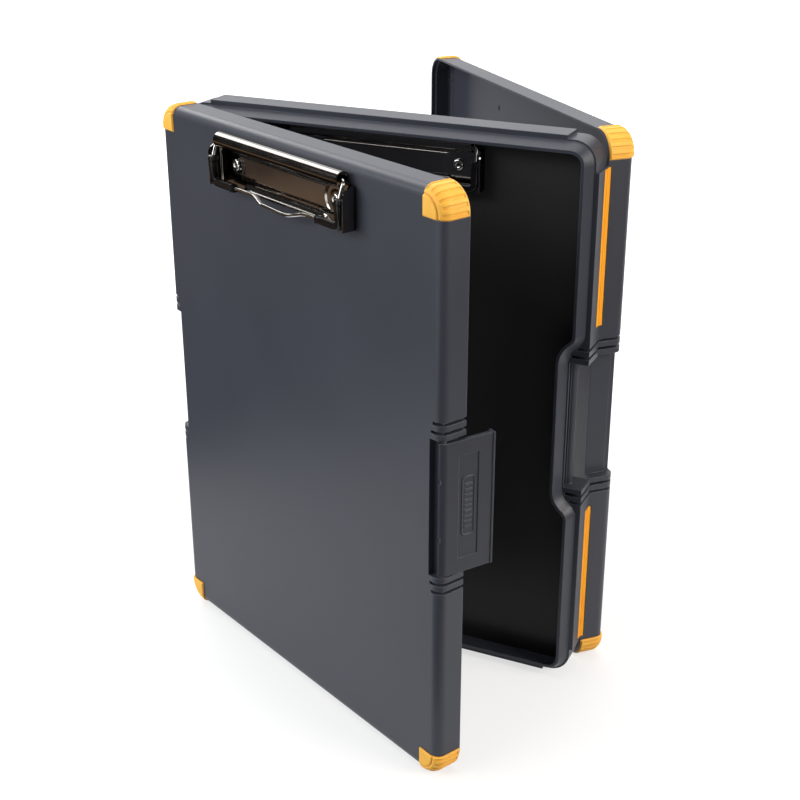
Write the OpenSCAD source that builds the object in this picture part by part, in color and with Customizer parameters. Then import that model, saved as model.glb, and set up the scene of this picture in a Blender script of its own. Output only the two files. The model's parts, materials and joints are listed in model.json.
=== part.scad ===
// Two-sided storage clipboard: a thin double-sided tray between two lids.
// The lids are hinged on opposite long edges, so the open case stands as a Z.
// Millimetres, +Z up. The origin is the middle of the tray's bottom face.

/* [Case] */
// Overall width of the closed case
case_w = 255; // [240:1:290]
// Overall height
case_h = 332; // [316:1:380]
// Depth of the tray's outer band
band_d = 16; // [14:0.5:24]
// Depth of each lid
lid_d = 16.5; // [15:0.5:24]
// Gap between the tray's band and a closed lid
parting_gap = 0.8; // [0.5:0.1:1.2]
// Radius of the tray's corners
corner_r = 12.5; // [12:0.5:20]

/* [Opening] */
// How far the front lid stands open at rest
front_open = 26; // [5:0.2:60]
// How far the rear lid stands open at rest
rear_open = 44.4; // [5:0.2:60]
// How far both latches stand off their lids at rest
latch_open = 7; // [2:0.5:20]

/* [Walls] */
// Wall of the lids and of their face
wall = 2.2; // [1.8:0.1:2.6]
// Thickness of a lid's stepped opening edge
lip_t = 1.2; // [1:0.1:1.4]
// Depth of that stepped edge
lip_d = 2.8; // [2.4:0.2:3]
// Rounding between a lid's face and its sides
edge_r = 5.5; // [4:0.5:6]
// Lid sides lie this far inside the tray's band
side_inset = 1.5; // [1.4:0.1:1.8]
// Lid top and bottom lie this far inside the tray's band
end_inset = 1; // [1:0.1:1.4]
// Thickness of the sheet that divides the tray
divider_t = 2; // [1.6:0.2:3]

/* [Tray rim] */
// Height of each rim over the band
rim_h = 6.5; // [5:0.5:8]
// Foot of the rim, measured in from the band
rim_in = 3.1; // [3:0.1:3.6]
// Edge of the rim, measured in from the band
rim_edge_in = 6.4; // [5.8:0.1:6.6]
// Thickness of the rim at its edge
rim_t = 1.8; // [1.6:0.1:2.2]
// Inner face of the tray's wall, measured in from the band
tray_wall_in = 5.4; // [5:0.1:5.8]
// The corners of the band step in by this much
corner_step = 2; // [1.6:0.1:2.4]
// Length of the stepped corners along each side
corner_len = 18.5; // [17:0.5:22]
// Gap from the latch recess to the S bend where the wall steps out again
bend_recess_gap = 8.4; // [8:0.1:9]

/* [Latch recess] */
// Length of a latch
latch_len = 75; // [70:1:90]
// Thickness of a fin
fin_t = 3.1; // [2.6:0.1:3.4]
// Gap between fins
fin_gap = 1.8; // [1.6:0.1:2.2]
// Depth of the recess in a lid's side
lid_recess = 6; // [5.8:0.1:6.4]
// Depth of the outer slots in a lid's side
slot_d = 2.4; // [1.8:0.1:2.5]
// Wall round that recess
recess_wall = 1.4; // [1.2:0.1:1.5]
// Depth of the recess in a lid's face
face_recess = 3.9; // [3.8:0.1:4.4]
// Width of the recess in a lid's face beside the latch
face_recess_w = 8.5; // [8:0.5:10]
// How far the tray's wall and rim step in at the recess
tray_jog = 9; // [8:0.5:10]
// Radius of the tray's catch rail
rail_r = 3; // [2.6:0.1:3]

/* [Latch] */
// Thickness of the latch plate
latch_t = 2.2; // [1.8:0.1:2.4]
// The latch plate lies this far inside the tray's band
latch_inset = 1; // [0.8:0.1:1.2]
// Outer radius of the latch's rounded corner
latch_bend = 4.5; // [4.2:0.1:4.8]
// Width of the recessed panel on the latch
panel_w = 58; // [40:1:64]
// Height of the recessed panel
panel_h = 12; // [8:0.5:14]
// Length of the latch's hook
hook_len = 60; // [50:1:70]
// Reach of the hook behind the latch plate
hook_reach = 6.2; // [6:0.1:6.4]
// Thickness of the hook
hook_t = 1.6; // [1.2:0.1:2]
// Diameter of the latch pin
pin_d = 2; // [1.6:0.1:2]
// The pin lies this far inside the lid's side
pin_side_in = 2; // [1.9:0.05:2.1]
// The pin lies this far inside the lid's face
pin_face_in = 4.3; // [4.2:0.05:4.5]
// How far round its corner the latch reaches, in degrees
latch_arc = 60; // [50:1:70]
// Running clearance on the pin's radius
pin_gap = 0.05; // [0.03:0.01:0.08]

/* [Hinge strips] */
// Length of a hinge strip
strip_len = 89.8; // [70:0.2:90]
// Gap from the latch recess to a strip
strip_recess_gap = 8.5; // [8:0.1:9]
// Thickness of a hinge strip
strip_t = 2.2; // [1.8:0.1:2.3]
// Radius of the bead along the strip's fold
fold_r = 0.6; // [0.5:0.05:0.65]
// Width of the strip on the tray
strip_tray_w = 6; // [4.5:0.5:7]
// Width of the strip on the lid
strip_lid_w = 2.2; // [1.8:0.1:2.6]
// Gap between the strip's edge and the lid's notch
strip_edge_gap = 0.8; // [0.4:0.1:1]

/* [Bumpers] */
// Bumpers stand this proud of a lid
bumper_proud = 1; // [0.6:0.1:1]
// Bumpers lie in pockets this deep
bumper_pocket = 0.9; // [0.6:0.1:1]
// Length of a bumper along each side
bumper_len = 14.5; // [13.4:0.1:15.4]
// Gap between a bumper's rim and the opening edge
bumper_start = 0.4; // [0.2:0.1:1]
// Width of the grooves round a bumper
groove_w = 1.5; // [1:0.1:2]
// Depth of those grooves
groove_d = 0.7; // [0.4:0.1:0.9]

/* [Clip] */
// Width of the clip plate
clip_w = 122; // [112:1:140]
// Height of the clip plate
clip_h = 25; // [23:0.5:30]
// Sheet thickness of the clip
clip_t = 0.8; // [0.7:0.05:1]
// Outer radius of the rolled barrel
barrel_r = 4.2; // [4:0.1:4.6]
// Length of the rolled barrel
barrel_len = 111; // [100:1:111]
// Distance between the rivets
rivet_pitch = 90; // [80:1:96]
// Height of the end flanges over the board
flange_h = 8.5; // [8:0.1:9.5]
// Diameter of the bail's wire
wire_d = 2.2; // [2:0.1:2.5]
// Diameter of the rubber sleeves
sleeve_d = 5; // [4.4:0.1:5.2]
// Length of a sleeve up the bail's leg, from the lower bar
sleeve_up = 14; // [8:0.5:16]
// Length of a sleeve along the lower bar, from the leg
sleeve_in = 19; // [10:0.5:22]
// Reach of the bail below the barrel's axis
bail_reach = 23.5; // [23:0.5:28]
// Depth of the finger loop
loop_drop = 4; // [3:0.5:6]
// Distance from the barrel's axis down from the top of the case
clip_top = 11; // [10:0.5:14]
// The clip on the lid sits this much higher than the one in the tray
outer_clip_rise = 2; // [0:0.5:3]

/* [Hidden] */
$fn = 48;
shell_grey = "#3b3e45";
accent = "#f0a030";
steel = "#3a3633";
bright = "#c8c8c8";
rubber = "#17171a";
far = 1;                            // overshoot of a cutting tool
seat_gap = 0.05;                    // gap round a piece that is set in a pocket
lid_w = case_w - 2 * side_inset;
lid_h = case_h - 2 * end_inset;
lid_r = corner_r + corner_step - side_inset;
part_y = band_d / 2;                // parting plane, from the tray's middle
lid_back = part_y + parting_gap;    // opening edge of a closed lid
fold_x = case_w / 2 - fold_r;       // hinge axis, from the tray's middle
ring_w = case_w - 2 * corner_step;  // outline of the tray without its flush pads
ring_h = case_h - 2 * corner_step;
ring_t = tray_wall_in - corner_step; // wall of the ring at the stepped corners
rim_inner = rim_edge_in + rim_t - corner_step;
bumper_leg = bumper_len - lid_r;
apron_top = lip_d + 0.2;            // a bumper's pocket starts above the lid's stepped edge
latch_half = latch_len / 2;
fin_start = latch_half + 1.3;
fin_pitch = fin_t + fin_gap;
recess_half = fin_start + 2 * fin_pitch;
strip_start = recess_half + strip_recess_gap;
strip_mid = strip_start + strip_len / 2;
// the latch's pin, in the lid's own frame
barrel_out = pin_d / 2 + 0.7;
pin_x = lid_w / 2 - pin_side_in;
pin_z = lid_d - pin_face_in;
// the S bends where the tray's wall steps in: twice as long as they are deep
bend_run = 2 * tray_jog;
bend_r = 1.25 * tray_jog;
bend_angle = 2 * atan(tray_jog / bend_run);
bend_start = recess_half + bend_recess_gap;
channel_d = 2;
channel_lip = 1.2;
// the clip, in a frame with z out of the board and y up, from the middle of the plate
axis_y = clip_h / 2 + 0.2;
axis_z = barrel_r + 0.4;
clip_y = case_h / 2 - clip_top - axis_y;
leg_x = clip_w / 2 - clip_t - 0.4 - sleeve_d / 2;
bail_lift = 2.6;                    // the bail's lower bar stands this much higher than its axis
bail_tilt = asin(bail_lift / bail_reach);
wire_bend = 3.2;
loop_half = 18.5;
loop_r = (loop_half * loop_half + loop_drop * loop_drop) / (2 * loop_drop);
loop_angle = asin(loop_half / loop_r);
spring_r = 2.6;
spring_wire = 0.9;
spring_coils = 12;
spring_x = 22;
spring_leg = 3.8;                   // the springs' legs end this far below the axis
rivet_head = 7;
rivet_shank = 3;

// ---------- frames ----------

// Flat frame (x right, y up, z towards the viewer) to the standing case
module stand() translate([0, 0, case_h / 2]) rotate([90, 0, 0]) children();

// Swings what stands about a vertical axis at [x, y]
module swing(x, y, angle) translate([x, y, 0]) rotate([0, 0, angle]) translate([-x, -y, 0]) children();

// Lid's own frame, z from the opening edge to the face, to the closed front lid
module closed_lid() stand() translate([0, 0, lid_back]) children();

module on_front_lid() swing(-fold_x, -part_y, -front_open) closed_lid() children();

// The rear lid is the front lid turned half round
module on_rear_lid() swing(fold_x, part_y, -rear_open) rotate([0, 0, 180]) closed_lid() children();

// Latch's frame is its lid's, swung about the pin
module swung_latch() translate([pin_x, 0, pin_z]) rotate([0, -latch_open, 0])
    translate([-pin_x, 0, -pin_z]) children();

// ---------- shapes ----------

// Sweeps a profile round a rectangle with round corners.
// The profile's x runs outwards from the corner's centre, and its y is the depth.
module round_frame(w, h, r) {
    cx = w / 2 - r;
    cy = h / 2 - r;
    corners = [[cx, cy], [-cx, cy], [-cx, -cy], [cx, -cy]];
    for (i = [0:3]) translate(corners[i]) rotate(90 * i) rotate_extrude(angle = 90) children();
    for (turn = [0, 180]) rotate(turn) {
        translate([cx, cy, 0]) rotate([90, 0, 0]) linear_extrude(2 * cy) children();
        translate([-cx, cy, 0]) rotate([90, 0, 90]) linear_extrude(2 * cx) children();
    }
}

// Frame at the middle of an S bend on the right: x across the wall, y along it
module bend_middle(w) translate([w / 2 - tray_jog / 2, bend_start - bend_run / 2, 0])
    rotate(-bend_angle) children();

// One long side of the tray: straight, an S bend inwards, and straight again
module stepped_side(w, h, r) {
    cx = w / 2 - r;
    reach = 4 * bend_r;
    for (s = [0, 1]) mirror([0, s, 0]) {
        translate([cx, h / 2 - r, 0]) rotate([90, 0, 0]) linear_extrude(h / 2 - r - bend_start) children();
        difference() {
            translate([w / 2 - bend_r, bend_start, 0]) rotate(-90) rotate_extrude(angle = 90)
                translate([bend_r - r, 0]) children();
            bend_middle(w) translate([-reach, -reach, -reach]) cube([2 * reach, reach, 2 * reach]);
        }
        difference() {
            translate([w / 2 - tray_jog + bend_r, bend_start - bend_run, 0]) rotate(90)
                rotate_extrude(angle = 90) translate([bend_r + r, 0]) mirror([1, 0]) children();
            bend_middle(w) translate([-reach, 0, -reach]) cube([2 * reach, reach, 2 * reach]);
        }
    }
    translate([cx - tray_jog, bend_start - bend_run, 0]) rotate([90, 0, 0])
        linear_extrude(2 * (bend_start - bend_run)) children();
}

// The tray's ring, stepped in on both long sides
module stepped_frame(w, h, r) {
    cx = w / 2 - r;
    cy = h / 2 - r;
    corners = [[cx, cy], [-cx, cy], [-cx, -cy], [cx, -cy]];
    for (i = [0:3]) translate(corners[i]) rotate(90 * i) rotate_extrude(angle = 90) children();
    for (turn = [0, 180]) rotate(turn) {
        translate([-cx, cy, 0]) rotate([90, 0, 90]) linear_extrude(2 * cx) children();
        stepped_side(w, h, r) children();
    }
}

// Section from the corner's centre: radius r, depth d, outer edge rounded by e
module soft_section(r, d, e) {
    square([r, d - e]);
    square([r - e, d]);
    translate([r - e, d - e]) intersection() {
        circle(e);
        square(e);
    }
}

module side_pair() for (s = [0, 1]) mirror([s, 0, 0]) children();

module end_pair() for (s = [0, 1]) mirror([0, s, 0]) children();

// ---------- tray ----------

module ring_section() translate([corner_r, 0]) polygon([
    [0, -part_y], [0, part_y],
    [corner_step - rim_in, part_y], [corner_step - rim_edge_in, part_y + rim_h],
    [-rim_inner, part_y + rim_h], [-ring_t, part_y], [-ring_t, -part_y], [-rim_inner, -part_y - rim_h],
    [corner_step - rim_edge_in, -part_y - rim_h], [corner_step - rim_in, -part_y]]);

// Rectangle with round corners
module round_rect(w, h, r) {
    square([w - 2 * r, h], center = true);
    square([w, h - 2 * r], center = true);
    for (x = [r - w / 2, w / 2 - r], y = [r - h / 2, h / 2 - r]) translate([x, y]) circle(r);
}

// Sheet between the two compartments, rooted in the middle of the ring's wall
module divider() {
    root = ring_t / 2;
    half = ring_w / 2;
    chord = [bend_start - 1, bend_start - bend_run + 1];
    linear_extrude(divider_t, center = true) difference() {
        round_rect(ring_w - 2 * root, ring_h - 2 * root, corner_r - root);
        for (turn = [0, 180]) rotate(turn) polygon([
            [half + far, chord[0]], [half - root, chord[0]], [half - root - tray_jog, chord[1]],
            [half - root - tray_jog, -chord[1]], [half - root, -chord[0]], [half + far, -chord[0]]]);
    }
}

// Flush pads that bring the stepped ring out to the full outline
module band_pads() {
    bite = 1;
    long = case_h / 2 - corner_len;
    side_pair() end_pair() translate([ring_w / 2 - bite, bend_start, -part_y])
        cube([bite + corner_step, long - bend_start, band_d]);
    end_pair() translate([corner_len - case_w / 2, ring_h / 2 - bite, -part_y])
        cube([case_w - 2 * corner_len, bite + corner_step, band_d]);
}

// How far the tray's wall has stepped in at height y from the middle
function step_in(y) = let (t = bend_start - y)
    t <= 0 ? 0
    : t <= bend_run / 2 ? bend_r - sqrt(bend_r * bend_r - t * t)
    : t < bend_run ? tray_jog - bend_r + sqrt(bend_r * bend_r - pow(bend_run - t, 2))
    : tray_jog;

// Fins either side of the recess, from the stepped wall out to the full outline.
// Beyond the second slot the outline is solid up to the flush pad.
module tray_fins() side_pair() end_pair() {
    bite = 1;
    for (i = [0:1]) {
        y = fin_start + i * fin_pitch;
        out = corner_step + step_in(y) + bite;
        translate([case_w / 2 - out, y, -part_y]) cube([out, fin_t, band_d]);
    }
    y = fin_start + 2 * fin_pitch;
    translate([0, 0, -part_y]) linear_extrude(band_d) polygon([
        [case_w / 2, y], [case_w / 2, bend_start + bite], [ring_w / 2 - bite, bend_start + bite],
        [ring_w / 2 - bite, bend_start], [ring_w / 2 - step_in(y) - bite, y]]);
}

// Half-round rail that the latch of each side snaps over
module catch_rails() {
    side_pair() translate([case_w / 2 - corner_step - tray_jog, 0, 0]) rotate([90, 0, 0])
        cylinder(r = rail_r, h = 2 * fin_start + 0.4, center = true);
}

// Channels above and below each rail, which leave the wall a thin lip along both rims
module rail_channels() side_pair() for (s = [0, 1]) mirror([0, 0, s])
    translate([case_w / 2 - corner_step - tray_jog - channel_d, -fin_start, rail_r + 0.4])
        cube([channel_d + far, 2 * fin_start, part_y - channel_lip - rail_r - 0.4]);

// Pockets for the tray halves of the hinge strips
module tray_strip_pockets() {
    end_pair() for (s = [-1, 1]) {
        x = s > 0 ? fold_x - strip_t : -case_w / 2 - far;
        z = s > 0 ? -part_y - far : part_y - strip_tray_w;
        translate([x, strip_start, z])
            cube([strip_t + fold_r + far, strip_len, strip_tray_w + far]);
    }
}

module tray() color(shell_grey) stand() difference() {
    union() {
        stepped_frame(ring_w, ring_h, corner_r) ring_section();
        divider();
        band_pads();
        tray_fins();
        catch_rails();
    }
    tray_strip_pockets();
    rail_channels();
    translate([0, clip_y, 0]) clip_holes(divider_t / 2 + far);
}

// ---------- lids ----------

module lid_solid() {
    round_frame(lid_w, lid_h, lid_r) soft_section(lid_r, lid_d, edge_r);
    translate([lid_r - lid_w / 2, lid_r - lid_h / 2, 0]) cube([lid_w - 2 * lid_r, lid_h - 2 * lid_r, lid_d]);
}

module lid_wall_section() difference() {
    soft_section(lid_r, lid_d, edge_r);
    translate([-far, lip_d]) square([lid_r - edge_r + far, lid_d - wall - lip_d]);
    translate([0, lip_d]) soft_section(lid_r - wall, lid_d - wall - lip_d, edge_r - wall);
    translate([-far, -far]) square([lid_r - lip_t + far, lip_d + far]);
}

module lid_shell() {
    round_frame(lid_w, lid_h, lid_r) lid_wall_section();
    translate([lid_r - lid_w / 2, lid_r - lid_h / 2, lid_d - wall])
        cube([lid_w - 2 * lid_r, lid_h - 2 * lid_r, wall]);
}

// Space cut from a lid's side and face round the latch, grown by g for its walls
module lid_recess_space(g) {
    x = lid_w / 2;
    ends = recess_half + g;
    side = x - lid_recess - g;
    slot = x - slot_d - g;
    face = x - face_recess_w - g;
    face_edge = 0.7;                                     // the slots show this far past the face's edge
    face_slot = x - edge_r - face_edge - g;
    translate([0, 0, -far]) linear_extrude(lid_d + 2 * far) polygon([
        [x + far, ends], [slot, ends], [side, fin_start],
        [side, -fin_start], [slot, -ends], [x + far, -ends]]);
    translate([0, 0, lid_d - face_recess - g]) linear_extrude(face_recess + g + far) polygon([
        [x + far, ends], [face_slot, ends], [face, fin_start], [face, -fin_start],
        [face_slot, -ends], [x + far, -ends]]);
}

module lid_fins() intersection() {
    lid_solid();
    lid_recess_space(0.2);
    end_pair() for (i = [0:1]) translate([lid_w / 2 - face_recess_w - 2, fin_start + i * fin_pitch, 0])
        cube([face_recess_w + 3, fin_t, lid_d + far]);
}

module lid_strip_notches() end_pair() translate([-case_w / 2 - far, strip_start, -far])
    cube([far + fold_r + strip_t + seat_gap, strip_len, far + strip_lid_w + strip_edge_gap - parting_gap]);

module front_lid_form() difference() {
    union() {
        difference() {
            union() {
                lid_shell();
                intersection() {
                    lid_solid();
                    side_pair() lid_recess_space(recess_wall);
                }
            }
            side_pair() lid_recess_space(0);
        }
        side_pair() lid_fins();
    }
    lid_strip_notches();
    bumper_pockets();
    translate([pin_x, 0, pin_z]) rotate([90, 0, 0])
        cylinder(d = pin_d, h = 2 * (fin_start + fin_t), center = true);
}

// ---------- bumpers ----------

// Solid corner from the height z up: a quarter turn of radius r and a leg along each side
module corner_solid(r, z, d, e, leg) translate([0, 0, z]) {
    rotate_extrude(angle = 90) soft_section(r, d, e);
    rotate([90, 0, 0]) linear_extrude(leg) soft_section(r, d, e);
    translate([-leg, 0, 0]) rotate([90, 0, 90]) linear_extrude(leg) soft_section(r, d, e);
    translate([-leg, -leg, 0]) cube([leg, leg, d]);
}

module bumper_outer(z, leg) corner_solid(lid_r + bumper_proud, z, lid_d - z + bumper_proud,
    edge_r + bumper_proud, leg);

// What lies inside a bumper, shrunk by g
module bumper_inner(g, leg) corner_solid(lid_r - bumper_pocket - g, -far, lid_d + far - bumper_pocket - g,
    edge_r - bumper_pocket, leg + far);

module at_corner() translate([lid_w / 2 - lid_r, lid_h / 2 - lid_r, 0]) children();

// Pockets in the lid's corners, which leave its stepped opening edge whole
module bumper_pockets() side_pair() end_pair() at_corner() difference() {
    bumper_outer(apron_top - seat_gap, bumper_leg + seat_gap);
    bumper_inner(seat_gap, bumper_leg + seat_gap);
}

// Below the pocket, the bumper's apron lies on the lid's side
module apron_bore() translate([0, 0, -far]) linear_extrude(far + apron_top) {
    r = lid_r + seat_gap;
    leg = bumper_leg + far;
    intersection() {
        circle(r);
        square(r);
    }
    translate([-leg, -leg]) square([leg, leg]);
    translate([0, -leg]) square([r, leg]);
    translate([-leg, 0]) square([leg, r]);
}

// Grip grooves across a bumper's rim
module bumper_grooves() {
    count = 6;
    border = 1.6;
    long = lid_d - edge_r - bumper_start - border;
    translate([0, 0, bumper_start + border]) for (i = [0:count - 1])
        rotate((i + 0.5) * 90 / count) translate([lid_r + bumper_proud - groove_d, -groove_w / 2, 0])
            cube([groove_d + far, groove_w, long]);
}

module bumper_at(sx, sy) color(accent) difference() {
    mirror([sx, 0, 0]) mirror([0, sy, 0]) at_corner() difference() {
        bumper_outer(bumper_start, bumper_leg);
        bumper_inner(0, bumper_leg);
        apron_bore();
        bumper_grooves();
    }
    lid_strip_notches();
}

// ---------- hinge strips ----------

// Strips are drawn at the front lid's hinge, in the tray's flat frame
module tray_leaf(up) color(accent) mirror([0, up ? 0 : 1, 0]) translate([-fold_x, strip_mid, part_y]) {
    rotate([90, 0, 0]) cylinder(r = fold_r, h = strip_len - 2 * seat_gap, center = true);
    translate([0, seat_gap - strip_len / 2, -strip_tray_w])
        cube([strip_t, strip_len - 2 * seat_gap, strip_tray_w]);
}

// Turned right back, this leaf lies over the tray's one, in the deeper pocket
module lid_leaf(up) color(accent) mirror([0, up ? 0 : 1, 0]) translate([-fold_x, strip_mid, -parting_gap])
    difference() {
        apart = 0.1;
        translate([apart, seat_gap - strip_len / 2, apart])
            cube([strip_t - apart, strip_len - 2 * seat_gap, strip_lid_w - apart]);
        rotate([90, 0, 0]) cylinder(r = fold_r + pin_gap, h = strip_len + far, center = true);
    }

// ---------- latch ----------

module latch_form() {
    x1 = case_w / 2 - latch_inset;                       // outer face of the plate
    z1 = lid_d - 0.2;                                    // top of the rounded corner
    tail = -parting_gap - band_d + 0.3;                  // far edge
    bead = [1.5, 1.2];                                   // finger bead along the far edge, half proud
    lip = [2, 1.4];                                      // stiffening lip behind it
    notch_y = 16.5;                                      // two small notches in the near edge
    notch_w = 2.2;
    notch_d = 1.4;
    notch_x = [pin_x - lid_recess, pin_x + 1.1];         // from the face's side to past the pin
    panel_z = (tail + lid_d) / 2 - 1;
    hook_z = -parting_gap - band_d / 2 - rail_r - 1;
    difference() {
        union() {
            translate([0, latch_half, 0]) rotate([90, 0, 0]) linear_extrude(latch_len) {
                translate([x1 - latch_t, tail]) square([latch_t, z1 - latch_bend - tail]);
                translate([x1 - latch_bend, z1 - latch_bend]) intersection() {
                    difference() {
                        circle(latch_bend);
                        circle(latch_bend - latch_t);
                    }
                    polygon([[0, 0], [2 * latch_bend, 0],
                        [2 * latch_bend * cos(latch_arc), 2 * latch_bend * sin(latch_arc)]]);
                }
                translate([x1 - latch_t - 1.6, tail]) square(lip);
                translate([x1 - 1, tail]) square(bead);
            }
            translate([pin_x, 0, pin_z]) rotate([90, 0, 0])
                cylinder(r = barrel_out, h = latch_len, center = true);
            translate([x1 - latch_t - hook_reach, -hook_len / 2, hook_z - hook_t])
                cube([hook_reach + 0.2, hook_len, hook_t]);
        }
        translate([pin_x, 0, pin_z]) rotate([90, 0, 0])
            cylinder(d = pin_d + 2 * pin_gap, h = latch_len + 2, center = true);
        translate([x1 - 0.5, -panel_w / 2, panel_z - panel_h / 2]) cube([far + 0.5, panel_w, panel_h]);
        end_pair() translate([notch_x[0], notch_y - notch_w / 2, z1 - notch_d])
            cube([notch_x[1] - notch_x[0], notch_w, far + notch_d]);
    }
}

module latch_pin() color(bright) translate([pin_x, 0, pin_z]) rotate([90, 0, 0])
    cylinder(d = pin_d, h = 2 * (fin_start + fin_t) - 0.4, center = true);

// ---------- clip ----------

module clip_holes(reach) for (s = [-1, 1]) translate([s * rivet_pitch / 2, 0, 0])
    cylinder(d = rivet_shank + 2 * seat_gap, h = 2 * reach, center = true);

// Pressed plate: flat sheet, rolled barrel, end flanges and bottom lip
module clip_plate() color(steel) difference() {
    union() {
        translate([-clip_w / 2, -clip_h / 2, 0]) cube([clip_w, clip_h - 3, clip_t]);
        translate([-barrel_len / 2, clip_h / 2 - 3.2, 0]) cube([barrel_len, 3.4, clip_t]);
        rotate([90, 0, 90]) translate([axis_y, axis_z, -barrel_len / 2]) linear_extrude(barrel_len)
            difference() {
                circle(barrel_r);
                circle(barrel_r - clip_t);
                translate([-barrel_r - far, -barrel_r - far])
                    square([barrel_r - 1 + far, barrel_r - 0.6 + far]);
            }
        for (s = [0, 1]) mirror([s, 0, 0]) translate([clip_w / 2 - clip_t, 0, 0]) rotate([90, 0, 90])
            linear_extrude(clip_t) {
                translate([-clip_h / 2, 0]) square([clip_h - 3 - 3, flange_h]);
                translate([clip_h / 2 - 6, 0]) square([3, flange_h - 3]);
                translate([clip_h / 2 - 6, flange_h - 3]) intersection() {
                    circle(3);
                    square(3);
                }
            }
        translate([5 - leg_x + sleeve_d, -clip_h / 2, 0]) cube([2 * (leg_x - sleeve_d) - 10, clip_t, 4.2]);
    }
    clip_holes(far + clip_t);
}

// Rivets: domed heads on the plate, shanks through the board and spread tails behind it
module clip_rivets(board) color(bright) for (s = [-1, 1]) translate([s * rivet_pitch / 2, 0, 0]) {
    dome = 5.6;
    translate([0, 0, clip_t]) intersection() {
        translate([0, 0, 1.4 - dome]) sphere(dome);
        cylinder(d = rivet_head, h = 2);
    }
    translate([0, 0, -board]) cylinder(d = rivet_shank, h = board + clip_t + 0.3);
    translate([0, 0, -board - 0.8]) cylinder(d = rivet_shank + 2, h = 0.8);
}

// Torsion springs: close coils on the barrel's axis, each with a leg along the plate
module clip_springs() color(bright) for (s = [0, 1]) mirror([s, 0, 0])
    translate([spring_x, axis_y, axis_z]) {
        rotate([0, 90, 0]) rotate_extrude() for (i = [0:spring_coils - 1])
            translate([spring_r - spring_wire / 2, i * spring_wire * 0.9]) circle(d = spring_wire, $fn = 24);
        down = axis_z - clip_t - spring_wire / 2 - 0.02;
        translate([0, -spring_leg, -down]) rotate([-90, 0, 0])
            cylinder(d = spring_wire, h = spring_leg - 1.6);
        translate([0, -1.6, -down]) cylinder(d = spring_wire, h = down - 1.5);
    }

// A bend of round bar of diameter d: centre at the origin, radius r, from angle a over sweep
module bar_bend(d, r, a, sweep) rotate(a) rotate_extrude(angle = sweep) translate([r, 0]) circle(d = d);

// A straight bar between two points of one plane
module bar(d, p, q) {
    v = q - p;
    translate([p[0], p[1], 0]) rotate([0, 0, atan2(v[1], v[0])]) rotate([0, 90, 0])
        cylinder(d = d, h = norm(v));
}

// Bail in its own plane: y down from the barrel's axis
module bail_flat() {
    x0 = spring_x - 4;
    b = wire_bend;
    for (s = [0, 1]) mirror([s, 0, 0]) {
        bar(wire_d, [x0, 0], [leg_x - b, 0]);
        translate([leg_x - b, -b, 0]) bar_bend(wire_d, b, 0, 90);
        bar(wire_d, [leg_x, -b], [leg_x, b - bail_reach]);
        translate([leg_x - b, b - bail_reach, 0]) bar_bend(wire_d, b, 270, 90);
        bar(wire_d, [leg_x - b, -bail_reach], [loop_half - wire_d / 4, -bail_reach]);
    }
    translate([0, loop_r - bail_reach - loop_drop, 0])
        bar_bend(wire_d, loop_r, 270 - loop_angle, 2 * loop_angle);
}

// Places what lies in the bail's plane on the clip
module bail_plane() translate([0, axis_y, axis_z]) rotate([-bail_tilt, 0, 0]) children();

module clip_bail() color(bright) bail_plane() bail_flat();

// L-shaped rubber sleeve over a lower corner of the bail; side is 1 on the right and -1 on the left
module clip_sleeve(side) color(rubber) bail_plane() mirror([side < 0 ? 1 : 0, 0, 0]) difference() {
    sleeve_form(sleeve_d);
    sleeve_form(wire_d + 2 * seat_gap, 0.5);
}

module sleeve_form(d, over = 0) {
    b = wire_bend;
    up = [leg_x, sleeve_up - bail_reach + over];
    in = [leg_x - sleeve_in - over, -bail_reach];
    bar(d, [leg_x, b - bail_reach], up);
    translate([leg_x - b, b - bail_reach, 0]) bar_bend(d, b, 270, 90);
    bar(d, [leg_x - b, -bail_reach], in);
}

// ---------- places ----------

module on_outer_clip() on_front_lid() translate([0, clip_y + outer_clip_rise, lid_d]) children();

module on_inner_clip() stand() translate([0, clip_y, divider_t / 2]) children();

module on_rear_strips() rotate([0, 0, 180]) stand() children();

module front_lid() color(shell_grey) on_front_lid() difference() {
    front_lid_form();
    translate([0, clip_y + outer_clip_rise, lid_d]) clip_holes(wall + far);
}

module rear_lid() color(shell_grey) on_rear_lid() front_lid_form();

tray();
stand() tray_leaf(true);  // front_hinge_upper_tray_leaf
stand() tray_leaf(false);  // front_hinge_lower_tray_leaf
on_rear_strips() tray_leaf(true);  // rear_hinge_upper_tray_leaf
on_rear_strips() tray_leaf(false);  // rear_hinge_lower_tray_leaf
on_inner_clip() clip_plate();  // inner_clip_plate
on_inner_clip() clip_rivets(divider_t);  // inner_clip_rivets
on_inner_clip() clip_springs();  // inner_clip_springs
on_inner_clip() clip_bail();  // inner_clip_bail
on_inner_clip() clip_sleeve(-1);  // inner_clip_sleeve_left
on_inner_clip() clip_sleeve(1);  // inner_clip_sleeve_right
front_lid();
on_front_lid() lid_leaf(true);  // front_hinge_upper_lid_leaf
on_front_lid() lid_leaf(false);  // front_hinge_lower_lid_leaf
on_front_lid() bumper_at(1, 0);  // front_bumper_top_left
on_front_lid() bumper_at(0, 0);  // front_bumper_top_right
on_front_lid() bumper_at(1, 1);  // front_bumper_bottom_left
on_front_lid() bumper_at(0, 1);  // front_bumper_bottom_right
on_front_lid() latch_pin();  // front_latch_pin
color(shell_grey) on_front_lid() swung_latch() latch_form();  // front_latch
on_outer_clip() clip_plate();  // outer_clip_plate
on_outer_clip() clip_rivets(wall);  // outer_clip_rivets
on_outer_clip() clip_springs();  // outer_clip_springs
on_outer_clip() clip_bail();  // outer_clip_bail
on_outer_clip() clip_sleeve(-1);  // outer_clip_sleeve_left
on_outer_clip() clip_sleeve(1);  // outer_clip_sleeve_right
rear_lid();
on_rear_lid() lid_leaf(true);  // rear_hinge_upper_lid_leaf
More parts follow.
